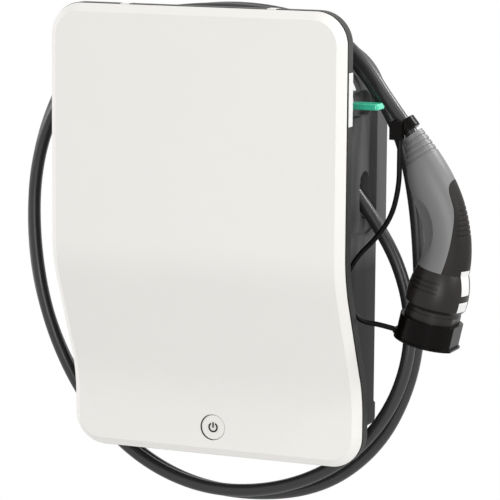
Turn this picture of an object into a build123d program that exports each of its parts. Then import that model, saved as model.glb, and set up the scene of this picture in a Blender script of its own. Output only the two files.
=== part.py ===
"""Wall-mounted vehicle charging station with an attached cable, in millimetres.

Seen from the front, +X is to the right, +Z up and +Y into the wall. The wall is the plane y = 0.
"""
import os
from math import cos, pi, radians, sin, sqrt, tan

from build123d import *

# Front cover: outline, wall, and the setback of its rim behind the front face
cover_w = 331.0
cover_h = 480.0
cover_d = 170.0
cover_corner_r = 34.0
cover_wall = 3.0
cover_rim = 9.0
cover_bevel = 8.5
hook_x = 82.0
hook_w = 10.0

# Step in the front: the lower half lies further back, past a straight slope between two bends
step_depth = 56.0
step_rise = 131.0
step_foot = 77.0
step_r = 120.0

# Front frame behind the cover, with a shadow gap between the two
reveal = 1.5
frame_depth = 14.0
frame_proud = 0.6
frame_wall = 3.0
frame_edge_r = 2.0
spigot_h = 4.0
spigot_w = 2.2
fit_gap = 0.3
land_w = 18.0
gasket_t = 2.0
gasket_inset = 0.5

# Rear housing: lower box, wider drum above it, and a rear flange against the wall.
# The cable channel lies beside and below the box, under the cover's edge.
channel_w = 26.5
channel_h = 24.0
box_corner_r = 10.0
foot_step = 1.7
foot_h = 27.0
drum_step = 4.0
drum_drop = 46.0
drum_bottom_z = 3.0
drum_corner_r = 63.0
flange_step = 7.0
flange_bottom_z = 7.0
flange_depth = 30.0
housing_wall = 3.0
back_wall = 4.0

# Cable saddle on top of the drum
saddle_r = 282.5
saddle_rise = 30.5
saddle_half_w = 90.0
saddle_rear_y = -40.0
saddle_depth = 66.0
saddle_wall = 4.0

# Wall fixing holes: distance from the cover's edges, and size
fix_margin_x = 65.5
fix_margin_z = 90.0
fix_hole_r = 3.5
fix_boss_r = 9.0
fix_boss_h = 5.0

# Frame screws: distances of the upper, middle and lower pairs from the housing's edges
upper_screw_in = 46.0
upper_screw_drop = 14.0
middle_screw_in = 13.0
middle_screw_z = 5.0
lower_screw_in = 44.0
lower_screw_rise = 10.0
screw_boss_r = 4.5
screw_r = 2.0
screw_head_r = 3.5
screw_head_h = 2.4
screw_len = 16.0
screw_gap = 0.2

# Start button, its switch and its board
button_rise = 31.5
button_r = 13.2
button_gap = 0.6
button_recess = 0.3
button_travel = 1.2
button_lip = 2.0
button_lip_t = 1.4
button_stem_r = 4.0
button_stem_h = 3.2
button_edge_r = 0.6
switch_size = 12.0
switch_h = 4.0
plunger_r = 3.0
plunger_h = 1.5
button_board_w = 60.0
button_board_h = 34.0
board_t = 1.6
board_post_r = 2.5
board_post_inset = 4.0

# Key lock in a niche of the right-hand side
lock_y = -75.0
lock_drop = 56.5
niche_depth = 9.0
niche_y0 = -124.0
niche_y1 = -32.0
niche_h = 26.0
niche_r = 9.0
lock_r = 9.5
lock_flange_r = 12.0
lock_flange_t = 2.0
lock_edge_r = 0.8
lock_len = 26.0
barrel_r = 6.5
barrel_gap = 0.05
barrel_proud = 0.6
lock_nut_w = 25.0
lock_nut_t = 5.0
cam_t = 3.0
cam_reach = 20.0
cam_w = 11.0
key_w = 8.0
key_t = 2.2
key_gap = 0.15
key_len = 40.0
key_overlap = 14.0
head_len = 33.0
head_w = 22.0
head_t = 6.5
head_corner_r = 4.0
head_edge_r = 1.6
head_ring_r = 2.0
head_ring_inset = 4.5
head_standoff = 1.4
lock_switch_d = 20.0
lock_switch_w = 12.0
lock_switch_h = 24.0
lock_switch_edge_r = 1.5

# Cable outlet: an oblong pocket in the right-hand side with a slanted floor
cable_d = 14.0
outlet_y = -47.5
outlet_z = 41.0
outlet_h = 50.0
outlet_w = 29.0
outlet_tilt = 50.0
outlet_depth = 34.0
gland_cap_r = 11.5
gland_cap_h = 8.0
gland_edge_r = 2.5
gland_shank_r = 8.6
gland_nut_w = 24.0
gland_nut_t = 5.0
gland_inside = 10.0
cord_gap = 0.1
pocket_reach = 10.0

# Supply gland in the floor of the housing
supply_screw_gap = 35.0
supply_front_in = 15.5
supply_bore_r = 9.0
supply_shank_r = 12.0
supply_hex_w = 28.0
supply_hex_h = 7.0
supply_cap_r = 13.5
supply_cap_h = 16.0
supply_edge_r = 5.0
supply_inside = 11.0
supply_nut_t = 5.0

# Mounting rail with contactor and terminals
rail_w = 35.0
rail_h = 7.5
rail_t = 1.0
rail_lip = 5.0
rail_z = 100.0
rail_side_gap = 43.0
rail_len = 105.0
contactor_in = 35.0
contactor_w = 45.0
contactor_h = 78.0
contactor_d = 60.0
contactor_step_d = 40.0
contactor_mid_h = 44.0
contactor_edge_r = 2.0
contactor_pole_pitch = 15.0
terminal_w = 8.0
terminal_gap = 0.2
terminal_h = 45.0
terminal_d = 40.0
terminal_count = 4
terminal_in = 67.0
terminal_hole_r = 2.5
terminal_hole_depth = 10.0

# Control board on moulded bosses
control_fix_gap = 15.0
control_rise = 30.0
control_w = 110.0
control_h = 160.0
control_boss_h = 14.0
control_boss_r = 4.0
control_margin = 7.0

# Blocks on the control board: place from its middle in x and z, then width, depth and height
control_blocks = [
    (-22.0, 45.0, 30.0, 22.0, 34.0),
    (22.0, 45.0, 30.0, 22.0, 34.0),
    (-25.0, -5.0, 36.0, 30.0, 32.0),
    (20.0, -8.0, 24.0, 3.0, 24.0),
    (0.0, -62.0, 70.0, 14.0, 10.0),
]

# Connector: its middle plane, its handle as sections along a bent spine, and its plug axis.
# A section is x, z, direction in degrees, radius in the middle plane and radius across it.
connector_y = -105.0
handle_sections = [
    (216.0, 114.0, -51.0, 11.6, 11.5),
    (227.0, 91.0, -64.0, 18.2, 17.0),
    (235.5, 70.5, -67.0, 23.0, 20.0),
    (246.0, 47.0, -71.0, 24.6, 19.5),
    (254.0, 22.0, -80.0, 24.2, 19.0),
    (255.5, -6.0, -94.0, 25.2, 21.5),
    (252.0, -22.0, -102.6, 26.6, 26.5),
]
rib_count = 4
rib_pitch = 6.0
rib_s0 = 4.8
rib_w = 2.4
rib_depth = 0.9
rib_degrees = -57.0
grip_edge = [(272.0, 78.0), (260.0, 66.0), (265.5, 44.0), (266.5, 22.0), (263.5, 0.0), (256.0, -30.0)]
nose_flare_r = 31.5
nose_flare_s0 = 20.0
nose_flare_s1 = 37.0
nose_neck_r = 28.0
nose_taper = 4.0
nose_len = 45.0
groove_count = 3
groove_pitch = 5.0
groove_w = 2.0
groove_depth = 1.2
groove_s = 9.0
groove_end = 7.5
shroud_r = 29.0
shroud_flat = 25.5
shroud_wall = 3.0
shroud_len = 27.0
insert_gap = 0.2
insert_short = 4.0
contact_len = 20.0
contact_short = 1.0
contact_gap = 0.1
contact_bore_r = 2.4
pilot_contact_r = 3.0
power_contact_r = 4.3
contact_spots = [
    (-13.0, 11.0, pilot_contact_r), (13.0, 11.0, pilot_contact_r),
    (-16.0, -3.0, power_contact_r), (0.0, -1.0, power_contact_r), (16.0, -3.0, power_contact_r),
    (-8.5, -16.0, power_contact_r), (8.5, -16.0, power_contact_r),
]

# Finger dish in the handle's inner side, and fine ribs on the grip's outer side
dish_r = 60.0
dish_depth = 3.0
dish_spot = (237.4, -118.4, 17.0)
dish_degrees = 228.0
grip_rib_count = 7
grip_rib_pitch = 5.0
grip_rib_w = 1.8
grip_rib_depth = 0.8
grip_rib_x = 270.5
grip_rib_z = 15.0

# Dust cap: a D-shaped cup over the plug, with a rim, a seal and an eye for the tether
cap_gap = 0.4
cap_wall = 3.6
cap_s0 = 53.0
cap_floor = 3.0
cap_rim = 1.8
cap_rim_t = 2.2
cap_seal_t = 3.7
cap_travel_gap = 0.3
eye_len = 4.5
eye_w = 9.0
eye_t = 6.0
eye_sink = 1.0

# Tether and its collar on the cable
tether_d = 5.4
collar_s = 10.5
collar_r = 12.5
collar_h = 12.0
collar_edge_r = 1.0
lug_right_x = 211.0
lug_front_y = -125.5
lug_end_z = 110.0
lug_len = 19.0
lug_w = 13.0
lug_d = 9.5
lug_tether_in = 3.1

# Route of the charging cable: out of the side, twice round the box, and into the handle.
# Its first two points follow the outlet's axis, and its last two the axis of the handle's end.
cable_turns = [
    (196.0, -51.0, -62.0), (200.0, -55.0, -126.0), (176.5, -55.0, -191.5), (125.5, -55.0, -249.0),
    (51.5, -55.0, -285.0), (-35.0, -55.0, -293.5), (-117.0, -55.0, -265.0), (-181.0, -55.0, -205.0),
    (-223.5, -55.0, -125.0), (-241.5, -55.0, -40.0), (-241.0, -55.0, 48.0), (-214.0, -56.0, 124.0),
    (-160.0, -57.0, 180.0), (-95.0, -59.0, 220.0), (0.0, -60.0, 236.0), (94.0, -58.0, 222.0),
    (144.0, -52.0, 171.0), (182.0, -47.0, 110.0), (197.0, -44.0, 46.0), (203.0, -41.0, -20.0),
    (204.0, -37.0, -93.0), (192.5, -34.0, -164.0), (157.0, -33.0, -233.5), (93.5, -33.0, -283.5),
    (8.0, -33.0, -300.0), (-77.0, -33.0, -290.0), (-153.0, -33.0, -246.0), (-210.0, -33.0, -179.0),
    (-245.0, -33.0, -97.0), (-255.5, -33.0, -10.0), (-245.0, -34.0, 74.0), (-206.0, -46.0, 152.0),
    (-146.0, -66.0, 210.0), (-62.0, -82.0, 230.0), (30.0, -85.0, 234.5), (116.5, -87.0, 218.0),
    (160.5, -97.0, 184.0),
]
cable_lead = 62.0
cable_tail = 42.0
bend_share = 0.45

# Route of the tether from the collar to the dust cap
# Its first run leaves the collar's lug straight down, and its last one meets the cap's eye square on.
tether_points = [
    (206.5, -117.0, 62.0), (197.0, -111.5, 29.0), (178.0, -108.5, 4.0), (158.0, -109.0, -16.0),
    (147.0, -113.0, -40.0), (149.0, -113.0, -65.0), (163.0, -107.0, -83.0),
]
tether_lead = 20.0
tether_tail = 15.0

# Worked-out levels and places, from the cover's size and the gaps above
step_bottom_z = step_foot - cover_h / 2
step_top_z = step_bottom_z + step_rise
lower_front_y = step_depth - cover_d
frame_top_z = cover_h / 2 + frame_proud
frame_front = cover_rim + reveal
frame_back = frame_front + frame_depth
housing_front = frame_back + gasket_t
box_half_w = cover_w / 2 - channel_w
box_bottom_z = channel_h - cover_h / 2
drum_half_w = box_half_w + drum_step
drum_top_z = cover_h / 2 - drum_drop
flange_half_w = drum_half_w + flange_step
flange_top_z = drum_top_z + flange_step
flange_corner_r = drum_corner_r + flange_step
saddle_peak_z = drum_top_z + saddle_rise
fix_x = cover_w - 2 * fix_margin_x
fix_z = cover_h - 2 * fix_margin_z
frame_screw_spots = [
    (drum_half_w - upper_screw_in, drum_top_z - upper_screw_drop),
    (drum_half_w - middle_screw_in, middle_screw_z),
    (box_half_w - lower_screw_in, box_bottom_z + lower_screw_rise),
]
button_z = button_rise - cover_h / 2
lock_z = drum_top_z - lock_drop
niche_floor_x = drum_half_w - niche_depth
supply_x = supply_screw_gap - box_half_w + lower_screw_in
supply_y = lower_front_y + housing_front + supply_front_in
rail_x0 = drum_half_w - rail_side_gap - rail_len
contactor_x = rail_x0 + contactor_in
terminal_x0 = rail_x0 + terminal_in
control_x0 = control_fix_gap - fix_x / 2
control_z0 = box_bottom_z + control_rise
niche_inner_x = niche_floor_x - housing_wall
lock_face_x = niche_floor_x + lock_flange_t
lock_end_x = lock_face_x - lock_len
barrel_face_x = lock_face_x + barrel_proud
head_x0 = barrel_face_x + head_standoff

os.makedirs("parts", exist_ok=True)


def direction(degrees):
    """Unit vector in the X-Z plane, turned up from +X."""
    return Vector(cos(radians(degrees)), 0, sin(radians(degrees)))


def across(degrees, origin):
    """Plane across that direction, with its local X along +Y."""
    return Plane(origin=origin, x_dir=(0, 1, 0), z_dir=direction(degrees))


def step_points(setback):
    """Corners of the stepped front line, moved back from the front face."""
    y = setback - cover_d
    return [
        (y, frame_top_z), (y, step_top_z), (y + step_depth, step_bottom_z), (y + step_depth, -frame_top_z),
    ]


def step_band(near, far):
    """Side profile between two setbacks of the front line."""
    with BuildSketch(Plane.YZ) as band:
        with BuildLine():
            front = FilletPolyline(*step_points(near), radius=step_r)
            back = FilletPolyline(*step_points(far), radius=step_r)
            Line(front @ 0, back @ 0)
            Line(front @ 1, back @ 1)
        make_face()
    return band.sketch


def step_to_wall(near):
    """Side profile from one setback of the front line back to the wall."""
    with BuildSketch(Plane.YZ) as band:
        with BuildLine():
            front = FilletPolyline(*step_points(near), radius=step_r)
            Polyline(front @ 0, (0, frame_top_z), (0, -frame_top_z), front @ 1)
        make_face()
    return band.sketch


def stepped_slab(near, far, inset):
    """Slab of the cover's outline, less an inset, between two setbacks."""
    with BuildSketch(Plane.XZ) as outline:
        RectangleRounded(cover_w - 2 * inset, cover_h - 2 * inset, cover_corner_r - inset)
    with BuildPart() as slab:
        extrude(step_band(near, far), amount=cover_w, both=True)
        extrude(outline.sketch, amount=cover_d, mode=Mode.INTERSECT)
    return slab.part


def housing_outline(shrink, front=0.0):
    """Front view of the box and the drum, on a plane that far in front of the wall."""
    with BuildSketch(Plane.XZ.offset(front)) as outline:
        with BuildLine():
            Polyline(
                (0, drum_top_z), (drum_half_w, drum_top_z), (drum_half_w, drum_bottom_z),
                (box_half_w, drum_bottom_z - drum_half_w + box_half_w),
                (box_half_w, box_bottom_z + foot_h),
                (box_half_w + foot_step, box_bottom_z + foot_h - foot_step),
                (box_half_w + foot_step, box_bottom_z), (0, box_bottom_z),
            )
            mirror(about=Plane.YZ)
        make_face()
        corners = outline.vertices().filter_by(lambda v: abs(v.X) > 1)
        fillet(corners.group_by(Axis.Y)[-1], drum_corner_r)
        fillet(outline.vertices().group_by(Axis.Y)[0], box_corner_r)
        if shrink:
            offset(amount=-shrink, mode=Mode.REPLACE)
    return outline.sketch


def d_shape(radius, flat, degrees, origin):
    """Circle with a flat towards the outer side of the connector, across the plug axis."""
    with BuildSketch(across(degrees, origin)) as shape:
        Circle(radius)
        with Locations((0, flat + radius)):
            Rectangle(4 * radius, 2 * radius, mode=Mode.SUBTRACT)
    return shape.sketch


def hexagon(width, plane):
    """Hexagon of that width across its flats."""
    with BuildSketch(plane) as shape:
        RegularPolygon(width / 2, 6, major_radius=False)
    return shape.sketch


def cord_radii(points):
    """Largest even bend at each inner point of a cord's route."""
    radii = []
    for before, here, after in zip(points, points[1:], points[2:]):
        run_in = Vector(here) - Vector(before)
        run_out = Vector(after) - Vector(here)
        half_turn = radians(run_in.get_angle(run_out)) / 2
        radii.append(bend_share * min(run_in.length, run_out.length) / tan(half_turn))
    return radii


def bevelled_slab(near, inset, bevel):
    """Slab of the cover's outline, less an inset, with its front edge bevelled."""
    with BuildPart() as slab:
        add(stepped_slab(near, frame_back, inset))
        front_faces = slab.faces().filter_by(lambda f: f.normal_at().Y < -0.5)
        chamfer(front_faces.edges().filter_by(lambda e: e.length < cover_w - 2 * inset - 1), bevel)
    return slab.part


# Front cover: stepped shell with a bevelled front edge, two hooks on top and the button's hole
inner_bevel = cover_bevel - cover_wall * (2 - sqrt(2))
with BuildPart() as front_cover:
    add(bevelled_slab(0, 0, cover_bevel))
    extrude(step_band(0, cover_rim), amount=cover_w, both=True, mode=Mode.INTERSECT)
    add(bevelled_slab(cover_wall, cover_wall, inner_bevel), mode=Mode.SUBTRACT)
    with Locations((0, frame_front - cover_d, cover_h / 2)):
        with GridLocations(2 * hook_x, 0, 2, 1):
            Box(hook_w, reveal, cover_wall, align=(Align.CENTER, Align.MAX, Align.MAX))
    with Locations(Plane.XZ.offset(-lower_front_y) * Pos(0, button_z)):
        Hole(button_r + button_gap, depth=2 * cover_wall)

# Front frame: dark tray behind the cover, open in the middle, with a spigot inside the cover's rim
board_back_y = lower_front_y + cover_wall + button_lip_t + button_stem_h + button_travel + fit_gap
board_front_y = board_back_y + plunger_h + switch_h
frame_floor_y = lower_front_y + frame_back - frame_wall
board_post_h = frame_floor_y - board_front_y - board_t
board_post_x = button_board_w - 2 * board_post_inset
board_post_z = button_board_h - 2 * board_post_inset
with BuildPart() as front_frame:
    add(stepped_slab(frame_front, frame_back, -frame_proud))
    rear_faces = front_frame.faces().filter_by(lambda f: f.normal_at().Y > 0.5)
    fillet(rear_faces.edges().filter_by(lambda e: e.length < cover_w - 1), frame_edge_r)
    add(stepped_slab(frame_front, frame_back - frame_wall, frame_wall - frame_proud), mode=Mode.SUBTRACT)
    spigot_in = cover_bevel + fit_gap
    spigot_tip = cover_rim - spigot_h
    add(stepped_slab(spigot_tip, frame_back - frame_wall, spigot_in))
    add(stepped_slab(spigot_tip, frame_back - frame_wall, spigot_in + spigot_w), mode=Mode.SUBTRACT)
    extrude(housing_outline(land_w), amount=cover_d, mode=Mode.SUBTRACT)
    for half, z in frame_screw_spots:
        with BuildSketch(Plane.XZ):
            with Locations((half, z), (-half, z)):
                Circle(screw_r + screw_gap)
        extrude(amount=cover_d, mode=Mode.SUBTRACT)
    with BuildSketch(Plane.XZ.offset(-frame_floor_y)):
        with Locations((0, button_z)):
            Rectangle(button_board_w, button_board_h)
    extrude(amount=-frame_wall)
    with BuildSketch(Plane.XZ.offset(-frame_floor_y)):
        with Locations((0, button_z)):
            with GridLocations(board_post_x, board_post_z, 2, 2):
                Circle(board_post_r)
    extrude(amount=board_post_h)

# Pocket of the cable outlet: a wedge with a slanted floor, as wide as its oblong mouth
outlet_dir = direction(-outlet_tilt)
floor_dir = direction(90 - outlet_tilt)
outlet_top = Vector(drum_half_w, outlet_y, outlet_z + outlet_h / 2)
outlet_low = outlet_top - floor_dir * (outlet_depth / floor_dir.X)
outlet_mid = (outlet_top + outlet_low) * 0.5
outlet_plane = Plane(origin=outlet_mid, x_dir=(0, 1, 0), z_dir=outlet_dir)


def outlet_pocket(grow):
    """Solid of the pocket, grown on all its inner sides."""
    lift = outlet_dir * -grow
    with BuildSketch(Plane.XZ.offset(-outlet_y)) as wedge:
        with BuildLine():
            far_x = flange_half_w + pocket_reach
            start = outlet_top + lift + floor_dir * ((far_x - drum_half_w) / floor_dir.X)
            inner = outlet_low + lift - floor_dir * grow
            low_z = outlet_z - outlet_h / 2 - grow
            Polyline(
                (start.X, start.Z), (inner.X, inner.Z), (drum_half_w, low_z), (far_x, low_z), close=True
            )
        make_face()
    with BuildSketch(Plane.YZ) as mouth_shape:
        with Locations((outlet_y, outlet_z)):
            SlotOverall(outlet_h + 2 * grow, outlet_w + 2 * grow, rotation=90)
    with BuildPart() as pocket:
        extrude(wedge.sketch, amount=outlet_w, both=True)
        extrude(mouth_shape.sketch, amount=2 * flange_half_w, mode=Mode.INTERSECT)
    return pocket.part


def key_niche(grow):
    """Solid of the key's niche, grown on all its inner sides."""
    with BuildSketch(Plane.YZ.offset(niche_floor_x - grow)) as mouth_shape:
        with Locations(((niche_y0 + niche_y1) / 2, lock_z)):
            RectangleRounded(niche_y1 - niche_y0 + 2 * grow, niche_h + 2 * grow, niche_r + grow)
    with BuildPart() as niche:
        extrude(mouth_shape.sketch, amount=flange_half_w - niche_floor_x + grow)
    return niche.part


# Inside space of the rear housing: what is cut out leaves its walls and bosses standing
control_x = control_x0 + control_w / 2
control_z = control_z0 + control_h / 2
with BuildPart() as housing_space:
    extrude(housing_outline(housing_wall, back_wall), amount=cover_d)
    add(outlet_pocket(housing_wall), mode=Mode.SUBTRACT)
    add(key_niche(housing_wall), mode=Mode.SUBTRACT)
    with BuildSketch(Plane.XZ.offset(back_wall)):
        for half, z in frame_screw_spots:
            with Locations((half, z), (-half, z)):
                Circle(screw_boss_r)
    extrude(amount=cover_d, mode=Mode.SUBTRACT)
    with BuildSketch(Plane.XZ.offset(back_wall)):
        with GridLocations(fix_x, fix_z, 2, 2):
            Circle(fix_boss_r)
    extrude(amount=fix_boss_h, mode=Mode.SUBTRACT)
    with BuildSketch(Plane.XZ.offset(back_wall)):
        with Locations((control_x, control_z)):
            with GridLocations(control_w - 2 * control_margin, control_h - 2 * control_margin, 2, 2):
                Circle(control_boss_r)
    extrude(amount=control_boss_h, mode=Mode.SUBTRACT)

# Rear housing: box, drum, rear flange and cable saddle in one moulding
with BuildPart() as rear_housing:
    extrude(housing_outline(0), amount=cover_d)
    with BuildSketch(Plane.XZ) as flange:
        with BuildLine():
            Polyline(
                (0, flange_top_z), (flange_half_w, flange_top_z), (flange_half_w, flange_bottom_z),
                (box_half_w, flange_bottom_z - flange_half_w + box_half_w),
                (0, flange_bottom_z - flange_half_w + box_half_w),
            )
            mirror(about=Plane.YZ)
        make_face()
        top_corners = flange.vertices().filter_by(lambda v: abs(v.X) > 1).group_by(Axis.Y)[-1]
        fillet(top_corners, flange_corner_r)
    extrude(amount=flange_depth)
    for radius, half_w, y, depth, mode in (
        (saddle_r, saddle_half_w, saddle_rear_y, saddle_depth, Mode.ADD),
        (saddle_r - saddle_wall, saddle_half_w - saddle_wall, saddle_rear_y,
         saddle_depth - saddle_wall, Mode.SUBTRACT),
    ):
        with BuildSketch(Plane.XZ.offset(-y)):
            with Locations((0, saddle_peak_z - saddle_r)):
                Circle(radius)
            with Locations((0, drum_top_z)):
                Rectangle(2 * half_w, cover_h, align=(Align.CENTER, Align.MIN), mode=Mode.INTERSECT)
        extrude(amount=depth, mode=mode)
    with BuildSketch(Plane.XZ.offset(-saddle_rear_y)):
        with Locations((0, saddle_peak_z - saddle_r)):
            Circle(saddle_r)
        with Locations((0, drum_top_z)):
            with GridLocations(2 * saddle_half_w / 3, 0, 2, 1):
                Rectangle(saddle_wall, cover_h, align=(Align.CENTER, Align.MIN), mode=Mode.INTERSECT)
    extrude(amount=saddle_depth)
    extrude(step_to_wall(housing_front), amount=cover_w / 2, both=True, mode=Mode.INTERSECT)
    add(housing_space.part, mode=Mode.SUBTRACT)
    add(outlet_pocket(0), mode=Mode.SUBTRACT)
    add(key_niche(0), mode=Mode.SUBTRACT)
    with BuildSketch(Plane.XZ):
        with GridLocations(fix_x, fix_z, 2, 2):
            Circle(fix_hole_r)
    extrude(amount=back_wall + fix_boss_h, mode=Mode.SUBTRACT)
    with BuildSketch(Plane.XZ.offset(back_wall + control_boss_h)):
        with Locations((control_x, control_z)):
            with GridLocations(control_w - 2 * control_margin, control_h - 2 * control_margin, 2, 2):
                Circle(screw_r + screw_gap)
    extrude(amount=-control_boss_h, mode=Mode.SUBTRACT)
    for half, z in frame_screw_spots:
        front_y = housing_front - cover_d + (step_depth if z < step_bottom_z else 0)
        with BuildSketch(Plane.XZ.offset(-front_y)):
            with Locations((half, z), (-half, z)):
                Circle(screw_r + screw_gap)
        extrude(amount=-screw_len, mode=Mode.SUBTRACT)
    with BuildSketch(outlet_plane):
        Circle(gland_shank_r + screw_gap)
    extrude(amount=housing_wall, both=True, mode=Mode.SUBTRACT)
    with BuildSketch(Plane.YZ.offset(niche_inner_x)):
        with Locations((lock_y, lock_z)):
            Circle(lock_r + screw_gap)
    extrude(amount=housing_wall, mode=Mode.SUBTRACT)
    with BuildSketch(Plane.XY.offset(box_bottom_z)):
        with Locations((supply_x, supply_y)):
            Circle(supply_shank_r + screw_gap)
    extrude(amount=housing_wall, mode=Mode.SUBTRACT)

# Gasket between the frame and the rim of the housing
with BuildPart() as frame_gasket:
    extrude(step_band(frame_back, housing_front), amount=cover_w / 2, both=True)
    extrude(housing_outline(gasket_inset), amount=cover_d, mode=Mode.INTERSECT)
    extrude(housing_outline(housing_wall - gasket_inset), amount=cover_d, mode=Mode.SUBTRACT)

# Screws that hold the frame to the housing
with BuildPart() as frame_screws:
    for half, z in frame_screw_spots:
        seat_y = frame_back - frame_wall - cover_d + (step_depth if z < step_bottom_z else 0)
        with BuildSketch(Plane.XZ.offset(-seat_y)):
            with Locations((half, z), (-half, z)):
                Circle(screw_head_r)
        extrude(amount=screw_head_h)
        with BuildSketch(Plane.XZ.offset(-seat_y)):
            with Locations((half, z), (-half, z)):
                Circle(screw_r)
        extrude(amount=-screw_len)

# Start button: cap, lip behind the cover and stem
button_face_y = lower_front_y + button_recess
button_lip_y = lower_front_y + cover_wall + fit_gap
with BuildPart() as start_button:
    with BuildSketch(Plane.XZ.offset(-button_lip_y)):
        with Locations((0, button_z)):
            Circle(button_r)
    extrude(amount=button_lip_y - button_face_y)
    fillet(start_button.faces().sort_by(Axis.Y)[0].edges(), button_edge_r)
    with BuildSketch(Plane.XZ.offset(-button_lip_y)):
        with Locations((0, button_z)):
            Circle(button_r + button_lip)
    extrude(amount=-button_lip_t)
    with BuildSketch(Plane.XZ.offset(-button_lip_y - button_lip_t)):
        with Locations((0, button_z)):
            Circle(button_stem_r)
    extrude(amount=-button_stem_h + fit_gap)

# Switch behind the button: body and plunger
with BuildPart() as button_switch:
    with BuildSketch(Plane.XZ.offset(-board_front_y)):
        with Locations((0, button_z)):
            Rectangle(switch_size, switch_size)
    extrude(amount=switch_h)
    with BuildSketch(Plane.XZ.offset(-board_front_y + switch_h)):
        with Locations((0, button_z)):
            Circle(plunger_r)
    extrude(amount=plunger_h)

# Board that carries the switch, on posts of the frame
with BuildPart() as button_board:
    with BuildSketch(Plane.XZ.offset(-board_front_y)):
        with Locations((0, button_z)):
            Rectangle(button_board_w, button_board_h)
    extrude(amount=-board_t)

# Lock body: flange on the niche's floor, barrel housing through the wall
with BuildPart() as lock_body:
    with BuildSketch(Plane.YZ.offset(niche_floor_x)):
        with Locations((lock_y, lock_z)):
            Circle(lock_flange_r)
    extrude(amount=lock_flange_t)
    fillet(lock_body.faces().sort_by(Axis.X)[-1].edges(), lock_edge_r)
    with BuildSketch(Plane.YZ.offset(niche_floor_x)):
        with Locations((lock_y, lock_z)):
            Circle(lock_r)
    extrude(amount=lock_end_x - niche_floor_x)
    with BuildSketch(Plane.YZ.offset(lock_end_x)):
        with Locations((lock_y, lock_z)):
            Circle(barrel_r + barrel_gap)
    extrude(amount=lock_len, mode=Mode.SUBTRACT)

# Nut that clamps the lock from inside
lock_nut_plane = Plane(origin=(niche_inner_x, lock_y, lock_z), x_dir=(0, 1, 0), z_dir=(1, 0, 0))
with BuildPart() as lock_nut:
    extrude(hexagon(lock_nut_w, lock_nut_plane), amount=-lock_nut_t)
    with BuildSketch(lock_nut_plane):
        Circle(lock_r + screw_gap)
    extrude(amount=-lock_nut_t, mode=Mode.SUBTRACT)

# Lock barrel with its keyway
with BuildPart() as lock_barrel:
    with BuildSketch(Plane.YZ.offset(lock_end_x)):
        with Locations((lock_y, lock_z)):
            Circle(barrel_r)
    extrude(amount=barrel_face_x - lock_end_x)
    with BuildSketch(Plane.YZ.offset(barrel_face_x)):
        with Locations((lock_y, lock_z)):
            Rectangle(key_w + 2 * key_gap, key_t + 2 * key_gap)
    extrude(amount=-(key_len - key_overlap - head_standoff + key_gap), mode=Mode.SUBTRACT)

# Cam on the barrel's inner end
with BuildPart() as lock_cam:
    with BuildSketch(Plane.YZ.offset(lock_end_x)):
        with Locations((lock_y, lock_z)):
            Circle(barrel_r)
        with Locations((lock_y, lock_z - cam_reach / 2)):
            Rectangle(cam_w, cam_reach)
    extrude(amount=-cam_t)

# Key: flat blade and moulded head with a hole for a ring
with BuildPart() as key_blade:
    with Locations((head_x0 + key_overlap, lock_y, lock_z)):
        Box(key_len, key_w, key_t, align=(Align.MAX, Align.CENTER, Align.CENTER))
with BuildPart() as key_head:
    with BuildSketch(Plane.XY.offset(lock_z)):
        with Locations((head_x0 + head_len / 2, lock_y)):
            RectangleRounded(head_len, head_w, head_corner_r)
    extrude(amount=head_t / 2, both=True)
    fillet(key_head.edges().filter_by(GeomType.LINE, reverse=True), head_edge_r)
    with Locations((head_x0 + head_len - head_ring_inset, lock_y, lock_z)):
        Cylinder(head_ring_r, head_t, mode=Mode.SUBTRACT)
    add(key_blade.part, mode=Mode.SUBTRACT)

# Switch worked by the lock, on the inner side of the niche
with BuildPart() as lock_switch:
    with Locations((niche_inner_x, lock_y + lock_nut_w / sqrt(3) + fit_gap, lock_z)):
        Box(lock_switch_d, lock_switch_w, lock_switch_h, align=(Align.MAX, Align.MIN, Align.CENTER))
    fillet(lock_switch.edges().filter_by(Axis.X), lock_switch_edge_r)

# Gland of the cable outlet: round cap outside, shank through the slanted floor, nut inside
with BuildPart() as outlet_gland:
    with BuildSketch(outlet_plane):
        Circle(gland_cap_r)
    extrude(amount=gland_cap_h)
    fillet(outlet_gland.faces().sort_by(Axis.X)[-1].edges(), gland_edge_r)
    with BuildSketch(outlet_plane):
        Circle(gland_shank_r)
    extrude(amount=-housing_wall - gland_inside)
    with BuildSketch(outlet_plane):
        Circle(cable_d / 2 + cord_gap)
    extrude(amount=cover_d, both=True, mode=Mode.SUBTRACT)
with BuildPart() as outlet_nut:
    extrude(hexagon(gland_nut_w, outlet_plane.offset(-housing_wall)), amount=-gland_nut_t)
    with BuildSketch(outlet_plane.offset(-housing_wall)):
        Circle(gland_shank_r + screw_gap)
    extrude(amount=-gland_nut_t, mode=Mode.SUBTRACT)

# Supply gland: hexagon body with shank, domed cap below it and locknut inside
supply_plane = Plane(origin=(supply_x, supply_y, box_bottom_z))
with BuildPart() as supply_gland:
    extrude(hexagon(supply_hex_w, supply_plane), amount=-supply_hex_h)
    with BuildSketch(supply_plane):
        Circle(supply_shank_r)
    extrude(amount=housing_wall + supply_inside)
    with BuildSketch(supply_plane):
        Circle(supply_bore_r)
    extrude(amount=cover_d, both=True, mode=Mode.SUBTRACT)
with BuildPart() as supply_cap:
    with BuildSketch(supply_plane.offset(-supply_hex_h)):
        Circle(supply_cap_r)
    extrude(amount=-supply_cap_h)
    fillet(supply_cap.faces().sort_by(Axis.Z)[0].edges(), supply_edge_r)
    with BuildSketch(supply_plane):
        Circle(supply_bore_r)
    extrude(amount=-cover_d, mode=Mode.SUBTRACT)
with BuildPart() as supply_nut:
    extrude(hexagon(supply_hex_w, supply_plane.offset(housing_wall)), amount=supply_nut_t)
    with BuildSketch(supply_plane.offset(housing_wall)):
        Circle(supply_shank_r + screw_gap)
    extrude(amount=supply_nut_t, mode=Mode.SUBTRACT)

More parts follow.
